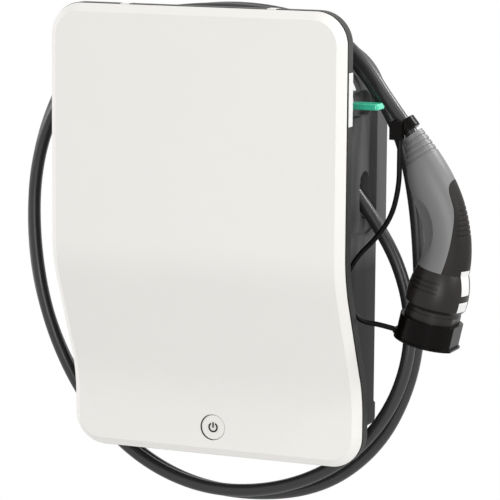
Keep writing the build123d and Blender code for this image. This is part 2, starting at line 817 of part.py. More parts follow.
# Mounting rail on the back wall
with BuildPart() as mounting_rail:
    with BuildSketch(Plane.YZ.offset(rail_x0)):
        with Locations((-back_wall, rail_z)):
            inner_w = rail_w - 2 * rail_lip
            Rectangle(rail_t, inner_w, align=(Align.MAX, Align.CENTER))
            with GridLocations(0, inner_w - rail_t, 1, 2):
                Rectangle(rail_h, rail_t, align=(Align.MAX, Align.CENTER))
        with Locations((-back_wall - rail_h, rail_z)):
            with GridLocations(0, rail_w - rail_lip - rail_t, 1, 2):
                Rectangle(rail_t, rail_lip + rail_t, align=(Align.MIN, Align.CENTER))
    extrude(amount=rail_len)

# Contactor on the rail, with stepped terminal shoulders
rail_front_y = -back_wall - rail_h
with BuildPart() as contactor:
    with Locations((contactor_x, rail_front_y, rail_z)):
        Box(contactor_w, contactor_step_d, contactor_h, align=(Align.CENTER, Align.MAX, Align.CENTER))
        Box(contactor_w, contactor_d, contactor_mid_h, align=(Align.CENTER, Align.MAX, Align.CENTER))
    fillet(contactor.faces().sort_by(Axis.Y)[0].edges(), contactor_edge_r)
    with BuildSketch(Plane.XZ.offset(contactor_step_d - rail_front_y)):
        with Locations((contactor_x, rail_z)):
            with GridLocations(contactor_pole_pitch, (contactor_h + contactor_mid_h) / 2, 3, 2):
                Circle(terminal_hole_r)
    extrude(amount=-terminal_hole_depth, mode=Mode.SUBTRACT)

# Supply terminals side by side on the rail
with BuildPart() as supply_terminals:
    for index in range(terminal_count):
        x = terminal_x0 + index * (terminal_w + terminal_gap)
        with Locations((x, rail_front_y, rail_z)):
            Box(terminal_w, terminal_d, terminal_h, align=(Align.MIN, Align.MAX, Align.CENTER))
    with BuildSketch(Plane.XZ.offset(terminal_d - rail_front_y)):
        for index in range(terminal_count):
            x = terminal_x0 + index * (terminal_w + terminal_gap) + terminal_w / 2
            with Locations((x, rail_z)):
                with GridLocations(0, terminal_h / 2, 1, 2):
                    Circle(terminal_hole_r)
    extrude(amount=-terminal_hole_depth, mode=Mode.SUBTRACT)

# Control board, what stands on it, and its screws
control_face_y = -back_wall - control_boss_h
with BuildPart() as control_board:
    with BuildSketch(Plane.XZ.offset(-control_face_y)):
        with Locations((control_x, control_z)):
            Rectangle(control_w, control_h)
            with GridLocations(control_w - 2 * control_margin, control_h - 2 * control_margin, 2, 2):
                Circle(screw_r + screw_gap, mode=Mode.SUBTRACT)
    extrude(amount=board_t)
with BuildPart() as board_components:
    for x, z, width, depth, height in control_blocks:
        with Locations((control_x + x, control_face_y - board_t, control_z + z)):
            Box(width, depth, height, align=(Align.CENTER, Align.MAX, Align.CENTER))
with BuildPart() as board_screws:
    with BuildSketch(Plane.XZ.offset(-control_face_y + board_t)):
        with Locations((control_x, control_z)):
            with GridLocations(control_w - 2 * control_margin, control_h - 2 * control_margin, 2, 2):
                Circle(screw_head_r)
    extrude(amount=screw_head_h)
    with BuildSketch(Plane.XZ.offset(-control_face_y + board_t)):
        with Locations((control_x, control_z)):
            with GridLocations(control_w - 2 * control_margin, control_h - 2 * control_margin, 2, 2):
                Circle(screw_r)
    extrude(amount=-board_t - control_boss_h / 2)


def handle_body(shrink):
    """Handle of the connector as one smooth body along its spine, before it is split in two."""
    with BuildPart() as body:
        for x, z, degrees, in_plane_r, across_r in handle_sections:
            with BuildSketch(across(degrees, (x, connector_y, z))):
                Ellipse(across_r - shrink, in_plane_r - shrink)
        loft()
    return body.part


grip_far_x = handle_sections[-2][0] + 2 * nose_flare_r
with BuildSketch(Plane.XZ.offset(-connector_y)) as grip_side:
    with BuildLine():
        edge = Spline(*grip_edge)
        Polyline(edge @ 1, (grip_far_x, grip_edge[-1][1]), (grip_far_x, grip_edge[0][1]), edge @ 0)
    make_face()

# Grey handle shell with ribs where the cable enters and a dish for the fingers
handle_x, handle_z, handle_degrees, handle_r, _ = handle_sections[0]
handle_end = Vector(handle_x, connector_y, handle_z)
dish_out = Vector(cos(radians(dish_degrees)), sin(radians(dish_degrees)), 0)
with BuildPart() as rib_cutters:
    for index in range(rib_count):
        s = rib_s0 + rib_pitch * index
        with BuildSketch(across(rib_degrees, handle_end + direction(rib_degrees) * s)):
            Circle(2 * nose_flare_r)
        extrude(amount=rib_w)
    add(handle_body(rib_depth), mode=Mode.SUBTRACT)
with BuildPart() as connector_shell:
    add(handle_body(0))
    extrude(grip_side.sketch, amount=2 * nose_flare_r, both=True, mode=Mode.SUBTRACT)
    add(rib_cutters.part, mode=Mode.SUBTRACT)
    with Locations(Vector(*dish_spot) + dish_out * (dish_r - dish_depth)):
        Sphere(dish_r, mode=Mode.SUBTRACT)

# Black grip along the handle's outer side
with BuildPart() as grip_rib_cutters:
    for index in range(grip_rib_count):
        with Locations((grip_rib_x, connector_y, grip_rib_z + index * grip_rib_pitch)):
            Box(2 * nose_flare_r, 2 * nose_flare_r, grip_rib_w,
                align=(Align.MIN, Align.CENTER, Align.CENTER))
    add(handle_body(grip_rib_depth), mode=Mode.SUBTRACT)
with BuildPart() as connector_grip:
    add(handle_body(0))
    extrude(grip_side.sketch, amount=2 * nose_flare_r, both=True, mode=Mode.INTERSECT)
    add(grip_rib_cutters.part, mode=Mode.SUBTRACT)

# Nose of the connector: flared body with grooves, and a D-shaped shroud around the contacts
nose_x, nose_z, plug_degrees, nose_r, _ = handle_sections[-1]
nose_start = Vector(nose_x, connector_y, nose_z)
plug_dir = direction(plug_degrees)
plug_side = direction(plug_degrees + 90)
side_plane = Plane(origin=nose_start, x_dir=plug_side, z_dir=(0, 1, 0))
shroud_hole_r = shroud_r - shroud_wall
shroud_hole_flat = shroud_flat - shroud_wall


def on_plug(s):
    """Point on the plug axis, that far past the handle."""
    return nose_start + plug_dir * s


def nose_body(shrink):
    """Flared nose turned about the plug axis."""
    with BuildPart() as body:
        with BuildSketch(side_plane):
            with BuildLine():
                Polyline((0, nose_len), (0, 0), (nose_r - shrink, 0))
                Spline(
                    (nose_r - shrink, 0), (nose_flare_r - shrink, nose_flare_s0),
                    (nose_flare_r - shrink, nose_flare_s1),
                )
                Polyline(
                    (nose_flare_r - shrink, nose_flare_s1),
                    (nose_neck_r - shrink, nose_flare_s1 + nose_taper),
                    (nose_neck_r - shrink, nose_len), (0, nose_len),
                )
            make_face()
        revolve(axis=Axis(nose_start, plug_dir))
    return body.part


with BuildPart() as groove_cutters:
    for index in range(groove_count):
        groove_start = on_plug(groove_s + index * groove_pitch)
        with Locations(Plane(origin=groove_start, x_dir=plug_side, z_dir=plug_dir)):
            with Locations((groove_end, 0, 0)):
                Box(2 * nose_flare_r, 2 * nose_flare_r, groove_w, align=(Align.MAX, Align.MIN, Align.MIN))
    add(nose_body(groove_depth), mode=Mode.SUBTRACT)
with BuildPart() as connector_nose:
    add(nose_body(0))
    extrude(d_shape(shroud_r, shroud_flat, plug_degrees, on_plug(nose_len)), amount=shroud_len)
    extrude(d_shape(shroud_hole_r, shroud_hole_flat, plug_degrees, on_plug(nose_len)), amount=shroud_len,
            mode=Mode.SUBTRACT)
    add(groove_cutters.part, mode=Mode.SUBTRACT)

# Contact insert and its sleeves
insert_len = shroud_len - insert_short
insert_r = shroud_hole_r - insert_gap
insert_flat = shroud_hole_flat - insert_gap
insert_face = across(plug_degrees, on_plug(nose_len + insert_len))
with BuildPart() as contact_insert:
    extrude(d_shape(insert_r, insert_flat, plug_degrees, on_plug(nose_len)), amount=insert_len)
    with BuildSketch(insert_face):
        for across_x, along_y, radius in contact_spots:
            with Locations((across_x, along_y)):
                Circle(radius)
    extrude(amount=-contact_len, mode=Mode.SUBTRACT)
with BuildPart() as contact_sleeves:
    with BuildSketch(insert_face.offset(-contact_len)):
        for across_x, along_y, radius in contact_spots:
            with Locations((across_x, along_y)):
                Circle(radius - contact_gap)
                Circle(contact_bore_r, mode=Mode.SUBTRACT)
    extrude(amount=contact_len - contact_short)

# Dust cap with a rim round its end, and an eye for the tether on its round side
cap_inner_r = shroud_r + cap_gap
cap_inner_flat = shroud_flat + cap_gap
cap_r = cap_inner_r + cap_wall
cap_flat = cap_inner_flat + cap_wall
cap_hollow = nose_len + shroud_len + cap_travel_gap + cap_seal_t - cap_s0
cap_len = cap_hollow + cap_floor
eye_base = on_plug(cap_s0 + cap_len - eye_t / 2) - plug_side * (cap_r - eye_sink)
with BuildPart() as dust_cap:
    extrude(d_shape(cap_r, cap_flat, plug_degrees, on_plug(cap_s0)), amount=cap_len)
    rim_start = on_plug(cap_s0 + cap_len - cap_rim_t)
    extrude(d_shape(cap_r + cap_rim, cap_flat + cap_rim, plug_degrees, rim_start), amount=cap_rim_t)
    with Locations(Plane(origin=eye_base, x_dir=plug_side, z_dir=plug_dir)):
        Box(eye_len, eye_w, eye_t, align=(Align.MAX, Align.CENTER, Align.CENTER))
    extrude(d_shape(cap_inner_r, cap_inner_flat, plug_degrees, on_plug(cap_s0)), amount=cap_hollow,
            mode=Mode.SUBTRACT)
with BuildPart() as cap_seal:
    seal_start = on_plug(cap_s0 + cap_hollow - cap_seal_t)
    extrude(d_shape(cap_inner_r, cap_inner_flat, plug_degrees, seal_start), amount=cap_seal_t)

# Charging cable: one tube from inside the outlet's gland to the handle
cable_points = [
    outlet_mid - outlet_dir * (housing_wall + gland_inside),
    outlet_mid + outlet_dir * cable_lead,
    *(Vector(*point) for point in cable_turns),
    handle_end - direction(handle_degrees) * cable_tail,
    handle_end,
]
cable_radii = cord_radii(cable_points)
with BuildPart() as charge_cable:
    with BuildLine() as cable_route:
        FilletPolyline(*cable_points, radius=cable_radii)
    with BuildSketch(Plane(origin=cable_route.line @ 0, z_dir=cable_route.line % 0)):
        Circle(cable_d / 2)
    sweep(path=cable_route.line)

# Collar on the cable just above the handle, with a lug that holds the tether
cable_end_dir = cable_route.line % 1
collar_mid = handle_end - cable_end_dir * collar_s
collar_plane = Plane(origin=collar_mid, x_dir=(0, 1, 0), z_dir=cable_end_dir)
lug_corner = Vector(lug_right_x, lug_front_y, lug_end_z)
lug_end = lug_corner + Vector(-lug_tether_in, lug_d / 2, 0)
with BuildPart() as tether_collar:
    with BuildSketch(collar_plane.offset(-collar_h / 2)):
        Circle(collar_r)
        Circle(cable_d / 2 + cord_gap, mode=Mode.SUBTRACT)
    extrude(amount=collar_h)
    fillet(tether_collar.edges().filter_by(GeomType.CIRCLE).group_by(SortBy.RADIUS)[-1], collar_edge_r)
    with Locations(lug_corner):
        Box(lug_w, lug_d, lug_len, align=(Align.MAX, Align.MIN, Align.MIN))
    with BuildSketch(collar_plane.offset(-collar_h)):
        Circle(cable_d / 2 + cord_gap)
    extrude(amount=2 * collar_h, mode=Mode.SUBTRACT)

# Tether from the collar's lug to the cap's eye
eye_end = eye_base - plug_side * eye_len
tether_route_points = [
    lug_end,
    lug_end - Vector(0, 0, tether_lead),
    *(Vector(*point) for point in tether_points),
    eye_end - plug_side * tether_tail,
    eye_end,
]
tether_radii = cord_radii(tether_route_points)
with BuildPart() as cap_tether:
    with BuildLine() as tether_route:
        FilletPolyline(*tether_route_points, radius=tether_radii)
    with BuildSketch(Plane(origin=tether_route.line @ 0, z_dir=tether_route.line % 0)):
        Circle(tether_d / 2)
    sweep(path=tether_route.line)

# Every piece, by the name of its node
pieces = {
    "front_cover": front_cover,
    "front_frame": front_frame,
    "rear_housing": rear_housing,
    "frame_gasket": frame_gasket,
    "frame_screws": frame_screws,
    "start_button": start_button,
    "button_switch": button_switch,
    "button_board": button_board,
    "lock_body": lock_body,
    "lock_nut": lock_nut,
    "lock_barrel": lock_barrel,
    "lock_cam": lock_cam,
    "lock_switch": lock_switch,
    "key_blade": key_blade,
    "key_head": key_head,
    "outlet_gland": outlet_gland,
    "outlet_nut": outlet_nut,
    "supply_gland": supply_gland,
    "supply_cap": supply_cap,
    "supply_nut": supply_nut,
    "mounting_rail": mounting_rail,
    "contactor": contactor,
    "supply_terminals": supply_terminals,
    "control_board": control_board,
    "board_components": board_components,
    "board_screws": board_screws,
    "connector_shell": connector_shell,
    "connector_grip": connector_grip,
    "connector_nose": connector_nose,
    "contact_insert": contact_insert,
    "contact_sleeves": contact_sleeves,
    "dust_cap": dust_cap,
    "cap_seal": cap_seal,
    "charge_cable": charge_cable,
    "tether_collar": tether_collar,
    "cap_tether": cap_tether,
}
for name, piece in pieces.items():
    piece.part.label = name
    export_step(piece.part, f"parts/{name}.step")

for name, piece, route, radii, diameter in (
    ("cable", charge_cable, cable_route, cable_radii, cable_d),
    ("tether", cap_tether, tether_route, tether_radii, tether_d),
):
    length = sum(edge.length for edge in route.edges())
    expected = pi * diameter**2 / 4 * length
    print(name, "radii:", [round(radius) for radius in radii])
    print(name, "length:", round(length), "volume ratio:", round(piece.part.volume / expected, 4))
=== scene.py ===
"""Looks of a wall-mounted charging station: its cords, labels, thin trim, finishes, light and camera."""
from math import cos, pi, radians, sin

import bpy
from mathutils import Matrix, Vector


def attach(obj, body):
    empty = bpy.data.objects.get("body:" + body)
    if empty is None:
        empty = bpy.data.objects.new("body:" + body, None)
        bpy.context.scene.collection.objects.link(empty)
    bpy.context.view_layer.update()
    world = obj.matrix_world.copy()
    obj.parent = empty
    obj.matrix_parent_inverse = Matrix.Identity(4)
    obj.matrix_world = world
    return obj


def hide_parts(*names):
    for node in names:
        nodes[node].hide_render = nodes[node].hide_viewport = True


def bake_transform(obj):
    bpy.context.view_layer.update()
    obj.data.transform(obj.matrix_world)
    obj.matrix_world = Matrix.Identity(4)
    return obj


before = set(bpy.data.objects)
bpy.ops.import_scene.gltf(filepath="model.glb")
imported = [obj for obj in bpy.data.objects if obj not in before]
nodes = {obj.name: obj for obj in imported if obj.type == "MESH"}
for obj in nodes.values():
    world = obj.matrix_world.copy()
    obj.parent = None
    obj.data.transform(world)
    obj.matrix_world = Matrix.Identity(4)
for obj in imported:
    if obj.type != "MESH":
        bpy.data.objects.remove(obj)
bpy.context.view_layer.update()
MM = 0.001
blunt_angle = radians(40)


class Wire:
    """A socket of a node graph. Python's operators on it add Math nodes."""

    def __init__(self, graph, socket):
        self.graph = graph
        self.socket = socket

    def join(self, operation, *values):
        return self.graph.node("ShaderNodeMath", {"operation": operation}, dict(enumerate(values)))

    def __add__(self, other):
        return self.join("ADD", self, other)

    __radd__ = __add__

    def __rsub__(self, other):
        return self.join("SUBTRACT", other, self)

    def __mul__(self, other):
        return self.join("MULTIPLY", self, other)

    __rmul__ = __mul__

    def over(self, level):
        return self.join("GREATER_THAN", self, level)


class Graph:
    """A node tree whose new nodes all come from one method."""

    def __init__(self, tree):
        self.tree = tree

    def node(self, kind, settings=None, sockets=None, out=0):
        """Adds a node, sets it up, links or fills its sockets, and returns one of its outputs."""
        node = self.tree.nodes.new(kind)
        for key, value in (settings or {}).items():
            setattr(node, key, value)
        for key, value in (sockets or {}).items():
            if isinstance(value, Wire):
                self.tree.links.new(value.socket, node.inputs[key])
            else:
                node.inputs[key].default_value = value
        return Wire(self, node.outputs[out])


class Finish(Graph):
    """One material: its shader, its nodes and the values on its sockets."""

    # Sockets of a Mix node that blends colours
    mix_factor, mix_low, mix_high, mix_result = 0, 6, 7, 2

    def __init__(self, name, **constants):
        self.material = bpy.data.materials.new(name)
        self.material.use_nodes = True
        super().__init__(self.material.node_tree)
        self.shader = self.tree.nodes["Principled BSDF"]
        for socket, value in constants.items():
            self.shader.inputs[socket.replace("_", " ")].default_value = value

    def feed(self, socket, wire):
        """Links a wire to a socket of the shader."""
        self.tree.links.new(wire.socket, self.shader.inputs[socket])

    def place(self):
        """Object coordinates."""
        return self.node("ShaderNodeTexCoord", out="Object")

    def noise(self, per_metre, detail, stretch=(1, 1, 1)):
        """Noise from 0 to 1 with that many waves in a metre."""
        where = self.node("ShaderNodeMapping", sockets={"Vector": self.place(), "Scale": stretch})
        return self.node(
            "ShaderNodeTexNoise", sockets={"Vector": where, "Scale": per_metre, "Detail": detail}
        )

    def bands(self, direction, scale):
        """Waves from 0 to 1 along one axis."""
        return self.node(
            "ShaderNodeTexWave", {"bands_direction": direction}, {"Vector": self.place(), "Scale": scale}
        )

    def blend(self, mask, low, high):
        """Colour that goes from low to high with the mask."""
        return self.node(
            "ShaderNodeMix", {"data_type": "RGBA"},
            {self.mix_factor: mask, self.mix_low: (*low, 1), self.mix_high: (*high, 1)}, out=self.mix_result,
        )

    def bump(self, height, strength, distance, **normal):
        """Raises the surface by a height, on top of another normal where one is given."""
        sockets = {"Strength": strength, "Distance": distance, "Height": height, **normal}
        self.feed("Normal", self.node("ShaderNodeBump", sockets=sockets))


def grey(level):
    """Colour without a tint."""
    return (level, level, level)


def scaled(colour, share):
    """Colour made darker or paler."""
    return [share * part for part in colour]


def grained(finish, rough, grain, depth, edge=0.5 * MM):
    """Gives a finish a fine grain, uneven gloss and softened edges; returns its faint clouds of shade."""
    clouds = finish.noise(per_metre=14.0, detail=4.0)
    skin = finish.noise(per_metre=1.0 / grain, detail=2.0)
    cloud_gloss, skin_gloss = 0.10, 0.06
    least_rough = rough - (cloud_gloss + skin_gloss) / 2
    finish.feed("Roughness", least_rough + cloud_gloss * clouds + skin_gloss * skin)
    soft_edge = finish.node("ShaderNodeBevel", {"samples": 4}, {"Radius": edge})
    finish.bump(skin, strength=0.5, distance=depth, Normal=soft_edge)
    cloud_share = 0.75
    return clouds * cloud_share + skin * (1 - cloud_share)


def moulded(name, colour, rough, grain, depth, mottle=0.10, edge=0.5 * MM, **constants):
    """Moulded plastic of one colour."""
    finish = Finish(name, **constants)
    clouds = grained(finish, rough, grain, depth, edge)
    finish.feed("Base Color", finish.blend(clouds, scaled(colour, 1 - mottle), scaled(colour, 1 + mottle)))
    return finish.material


def painted_shade_by_height(name, lower, upper, heights, rough, grain, depth, **constants):
    """Moulded plastic with painted shade that grows paler between two heights, and a back of one painted
    shade.
    """
    finish = Finish(name, **constants)
    clouds = grained(finish, rough, grain, depth)
    height = finish.node("ShaderNodeSeparateXYZ", sockets={"Vector": finish.place()}, out="Z")
    bottom, top = heights
    # Painted shade and light: darker below the lower height, paler above the upper one
    rise = finish.node("ShaderNodeMapRange", sockets={"Value": height, "From Min": bottom, "From Max": top})
    normal = finish.node("ShaderNodeTexCoord", out="Normal")
    # Faces turned to the back get one painted shade in place of the height gradient
    turned_back = 0.7
    rear = finish.node("ShaderNodeSeparateXYZ", sockets={"Vector": normal}, out="Y").over(turned_back)
    rear_painted_shade = 0.4
    shade = rise * (1 - rear) + rear_painted_shade * rear
    cloud_share = 0.15
    mask = shade * (1 - cloud_share) + clouds * cloud_share
    finish.feed("Base Color", finish.blend(mask, lower, upper))
    return finish.material


def plated(name, colour, rough, stretch):
    """Bare or plated metal with fine drawn lines and a few dull patches."""
    finish = Finish(name, Metallic=1.0)
    lines = finish.noise(per_metre=900.0, detail=3.0, stretch=stretch)
    patches = finish.noise(per_metre=60.0, detail=4.0)
    patch_share, dullest = 0.6, 0.78
    mask = patches * patch_share + lines * (1 - patch_share)
    finish.feed("Base Color", finish.blend(mask, scaled(colour, dullest), colour))
    polish, patch_gloss = 0.05, 0.14
    finish.feed("Roughness", rough - polish + patch_gloss * patches)
    finish.bump(lines, strength=0.25, distance=0.1 * MM)
    return finish.material


def circuit_board(name):
    """Green lacquered board with paler tracks in two directions."""
    finish = Finish(name, Coat_Weight=0.4, Coat_Roughness=0.15)
    track_edge, area_edge, track_share = 0.7, 0.5, 0.8
    across = finish.bands("X", scale=70.0).over(track_edge)
    upright = finish.bands("Z", scale=55.0).over(track_edge)
    area = finish.noise(per_metre=40.0, detail=1.0).over(area_edge)
    tracks = (across * area + upright * (1 - area)) * track_share
    lacquer, copper_under_lacquer = (0.012, 0.11, 0.045), (0.05, 0.26, 0.12)
    finish.feed("Base Color", finish.blend(tracks, lacquer, copper_under_lacquer))
    board_rough, track_rough = 0.35, 0.1
    finish.feed("Roughness", board_rough + track_rough * tracks)
    return finish.material


def cable_skin(name, colour, rough, **constants):
    """Extruded cable jacket: fine grain, faint scuffs and a soft sheen."""
    finish = Finish(name, **constants)
    scuffs = finish.noise(per_metre=55.0, detail=5.0)
    grain = finish.noise(per_metre=1600.0, detail=2.0)
    scuff_share, darkest, palest = 0.8, 0.88, 1.16
    mask = scuffs * scuff_share + grain * (1 - scuff_share)
    finish.feed("Base Color", finish.blend(mask, scaled(colour, darkest), scaled(colour, palest)))
    polish, scuff_gloss = 0.1, 0.22
    finish.feed("Roughness", rough - polish + scuff_gloss * scuffs)
    finish.bump(grain, strength=0.3, distance=0.08 * MM)
    return finish.material


# Finishes of the cover, the housing and the frame
white_cover = moulded(
    "white cover", (0.85, 0.835, 0.80), rough=0.36, grain=0.7 * MM, depth=0.03 * MM, mottle=0.012
)
# Painted shade on the housing: darker low down, paler higher up where the light falls
dark_housing = painted_shade_by_height(
    "dark housing", lower=grey(0.024), upper=grey(0.100), heights=(-0.042, -0.012),
    rough=0.46, grain=0.5 * MM, depth=0.08 * MM, Specular_IOR_Level=0.03,
)
# Painted shade on the frame strip: darker low down where shade falls, paler higher up
frame_strip = painted_shade_by_height(
    "frame strip", lower=(0.033, 0.033, 0.032), upper=(0.063, 0.063, 0.061), heights=(0.06, 0.20),
    rough=0.40, grain=0.5 * MM, depth=0.06 * MM, Specular_IOR_Level=0.05,
)
label_white = moulded(
    "label white", (0.76, 0.76, 0.75), rough=0.5, grain=0.3 * MM, depth=0.02 * MM, mottle=0.02, edge=0.1 * MM
)
# Grey of the power symbol, also the colour of the painted shadow round the button
symbol_and_painted_shadow_grey = moulded(
    "symbol and painted shadow grey", grey(0.010), rough=0.45, grain=0.3 * MM, depth=0.02 * MM, mottle=0.08, edge=0.1 * MM,
    Specular_IOR_Level=0.15,
)
key_green = moulded(
    "key green", (0.07, 0.72, 0.45), rough=0.24, grain=0.8 * MM, depth=0.04 * MM, mottle=0.08, Coat_Weight=0.4
)

# Finishes of the connector and the cords
grey_handle = moulded(
    "grey handle", grey(0.170), rough=0.42, grain=0.45 * MM, depth=0.08 * MM, mottle=0.06
)
black_grip = moulded(
    "black grip", (0.015, 0.0135, 0.012), rough=0.48, grain=0.9 * MM, depth=0.18 * MM,
    Specular_IOR_Level=0.18,
)
nose_black = moulded(
    "nose black", (0.013, 0.0105, 0.009), rough=0.35, grain=0.6 * MM, depth=0.08 * MM, Specular_IOR_Level=0.3
)
cap_black = moulded(
    "cap black", (0.0025, 0.0018, 0.0015), rough=0.22, grain=0.5 * MM, depth=0.04 * MM,
    Specular_IOR_Level=0.09,
)
cable_grey = cable_skin("cable grey", (0.030, 0.030, 0.031), rough=0.30, Specular_IOR_Level=0.4)
tether_black = cable_skin("tether black", grey(0.003), rough=0.40, Specular_IOR_Level=0.15)

# Finishes of the small and inner pieces
light_grey = moulded("light grey", (0.45, 0.45, 0.46), rough=0.45, grain=0.5 * MM, depth=0.06 * MM)
black_plastic = moulded("black plastic", (0.013, 0.013, 0.014), rough=0.38, grain=0.5 * MM, depth=0.08 * MM)
black_rubber = moulded("black rubber", grey(0.010), rough=0.6, grain=0.6 * MM, depth=0.1 * MM)
zinc = plated("zinc", (0.66, 0.66, 0.67), rough=0.34, stretch=(1, 0.1, 1))
brass = plated("brass", (0.72, 0.56, 0.27), rough=0.28, stretch=(0.1, 1, 1))
board_green = circuit_board("board green")

node_finishes = {
    "front_cover": white_cover, "start_button": white_cover,
    "front_frame": frame_strip, "rear_housing": dark_housing, "frame_gasket": black_rubber,
    "frame_screws": zinc, "board_screws": zinc, "mounting_rail": zinc,
    "lock_body": zinc, "lock_nut": zinc, "lock_cam": zinc, "key_blade": zinc,
    "lock_barrel": brass, "contact_sleeves": brass,
    "key_head": key_green,
    "button_switch": black_plastic, "lock_switch": black_plastic, "board_components": black_plastic,
    "outlet_gland": black_plastic, "outlet_nut": black_plastic,
    "supply_gland": black_plastic, "supply_cap": black_plastic, "supply_nut": black_plastic,
    "button_board": board_green, "control_board": board_green,
    "contactor": light_grey, "supply_terminals": light_grey,
    "connector_shell": grey_handle, "connector_grip": black_grip, "connector_nose": nose_black,
    "contact_insert": black_plastic, "dust_cap": cap_black, "cap_seal": black_rubber,
    "tether_collar": cap_black,
}


def paint(piece, material):
    """Gives a piece one finish alone."""
    piece.data.materials.clear()
    piece.data.materials.append(material)


for name, material in node_finishes.items():
    paint(nodes[name], material)


def deselect():
    """Leaves edit mode and selects nothing."""
    if bpy.context.object and bpy.context.object.mode != "OBJECT":
        bpy.ops.object.mode_set(mode="OBJECT")
    bpy.ops.object.select_all(action="DESELECT")


def pick(*pieces):
    """Selects these pieces alone and makes the first one active."""
    deselect()
    for piece in pieces:
        piece.select_set(True)
    bpy.context.view_layer.objects.active = pieces[0]


def apply_place(piece):
    """Puts a piece's place, turn and size into its mesh."""
    pick(piece)
    bpy.ops.object.transform_apply(location=True, rotation=True, scale=True)


def settle(piece, name, material, body):
    """Applies a piece's place, names it, paints it and hangs it on its body."""
    apply_place(piece)
    piece.name = name
    paint(piece, material)
    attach(piece, body)


def apply_modifier(piece, kind, **settings):
    """Adds one modifier to a piece and applies it."""
    modifier = piece.modifiers.new(kind.lower(), kind)
    for key, value in settings.items():
        setattr(modifier, key, value)
    bpy.context.view_layer.objects.active = piece
    bpy.ops.object.modifier_apply(modifier=modifier.name)


def smooth(piece):
    """Shades a piece smooth across its blunt edges."""
    pick(piece)
    bpy.ops.object.shade_smooth_by_angle(angle=blunt_angle)


def round_line(name, points, radius):
    """Smooth round line along control points, all in millimetres."""
    curve = bpy.data.curves.new(name, "CURVE")
    curve.dimensions = "3D"
    line = curve.splines.new("NURBS")
    line.points.add(len(points) - 1)
    for spot, (x, y, z) in zip(line.points, points):
        spot.co = (x * MM, y * MM, z * MM, 1)
    line.order_u = 3
    line.use_endpoint_u = True
    line.resolution_u = 12
    curve.bevel_depth = radius * MM
    curve.bevel_resolution = 8
    curve.use_fill_caps = True
    piece = bpy.data.objects.new(name, curve)
    bpy.context.scene.collection.objects.link(piece)
    return piece


def as_mesh(piece):
    """Makes a mesh of a curve."""
    pick(piece)
    bpy.ops.object.convert(target="MESH")
    return bpy.context.object


# Charging cable, from the gland in the side, twice round the box, to the connector
cable_points = [
    (117.6, -47.5, 61.7), (165.9, -47.5, 4.2),
    (196.0, -51.0, -62.0), (200.0, -55.0, -126.0), (176.5, -55.0, -191.5), (125.5, -55.0, -249.0),
    (51.5, -55.0, -285.0), (-35.0, -55.0, -293.5), (-117.0, -55.0, -265.0), (-181.0, -55.0, -205.0),
    (-223.5, -55.0, -125.0), (-241.5, -55.0, -40.0), (-241.0, -55.0, 48.0), (-214.0, -56.0, 124.0),
    (-160.0, -57.0, 180.0), (-95.0, -59.0, 220.0), (0.0, -60.0, 236.0), (94.0, -58.0, 222.0),
    (144.0, -52.0, 171.0), (182.0, -47.0, 110.0), (197.0, -44.0, 46.0), (203.0, -41.0, -20.0),
    (204.0, -37.0, -93.0), (192.5, -34.0, -164.0), (157.0, -33.0, -233.5), (93.5, -33.0, -283.5),
    (8.0, -33.0, -300.0), (-77.0, -33.0, -290.0), (-153.0, -33.0, -246.0), (-210.0, -33.0, -179.0),
    (-245.0, -33.0, -97.0), (-255.5, -33.0, -10.0), (-245.0, -34.0, 74.0), (-206.0, -46.0, 152.0),
    (-146.0, -66.0, 210.0), (-62.0, -82.0, 230.0), (30.0, -85.0, 234.5), (116.5, -87.0, 218.0),
    (160.5, -97.0, 184.0),
    (189.6, -105.0, 146.6), (216.0, -105.0, 114.0),
]
cable_thickness = 14.0
cable = round_line("charging_cord", cable_points, cable_thickness / 2)
paint(cable, cable_grey)
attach(cable, "wallbox")
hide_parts("charge_cable")

# Tether from the collar on the cable to the dust cap
tether_points = [
    (207.9, -120.75, 110.0), (207.9, -120.75, 90.0),
    (206.5, -117.0, 62.0), (197.0, -111.5, 29.0), (178.0, -108.5, 4.0), (158.0, -109.0, -16.0),
    (147.0, -113.0, -40.0), (149.0, -113.0, -65.0), (163.0, -107.0, -83.0),
    (185.2, -105.0, -84.9), (199.8, -105.0, -88.2),
]
tether_thickness = 5.4
guide = round_line("tether_guide", tether_points, 0.0)
guide_mesh = bpy.data.meshes.new_from_object(guide.evaluated_get(bpy.context.evaluated_depsgraph_get()))
bpy.data.objects.remove(guide)
tether = as_mesh(round_line("tether_shape", tether_points, tether_thickness / 2))
tether.name = "cap_cord"
paint(tether, tether_black)
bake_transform(tether)
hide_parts("cap_tether")


# Thin plates: their lift off the surface under them, their thickness, and their cells across and up
plate_lift = 0.12
plate_thickness = 0.25
plate_cells = (16, 24)


def thin_plate(name, under, spot, width, height, material, toward=(1, 0, 0), upright=(0, 0, 1)):
    """Thin plate of that size, laid on the surface of one or two nodes by projection along one direction."""
    facing = Vector(toward)
    side = Vector(upright).cross(facing)
    turn = Matrix((side, facing.cross(side), facing)).transposed().to_4x4()
    stretch = Matrix.Diagonal((width * MM, height * MM, 1, 1))
    deselect()
    bpy.ops.mesh.primitive_grid_add(x_subdivisions=plate_cells[0], y_subdivisions=plate_cells[1], size=1)
    plate = bpy.context.object
    plate.matrix_world = Matrix.Translation(Vector(spot) * MM) @ turn @ stretch
    apply_modifier(
        plate, "SHRINKWRAP", target=nodes[under[0]],
        auxiliary_target=nodes[under[1]] if len(under) > 1 else None,
        wrap_method="PROJECT", use_project_z=True, use_negative_direction=True,
        use_positive_direction=False, offset=plate_lift * MM,
    )
    apply_place(plate)
    apply_modifier(plate, "SOLIDIFY", thickness=plate_thickness * MM, offset=1.0)
    smooth(plate)
    settle(plate, name, material, "wallbox")


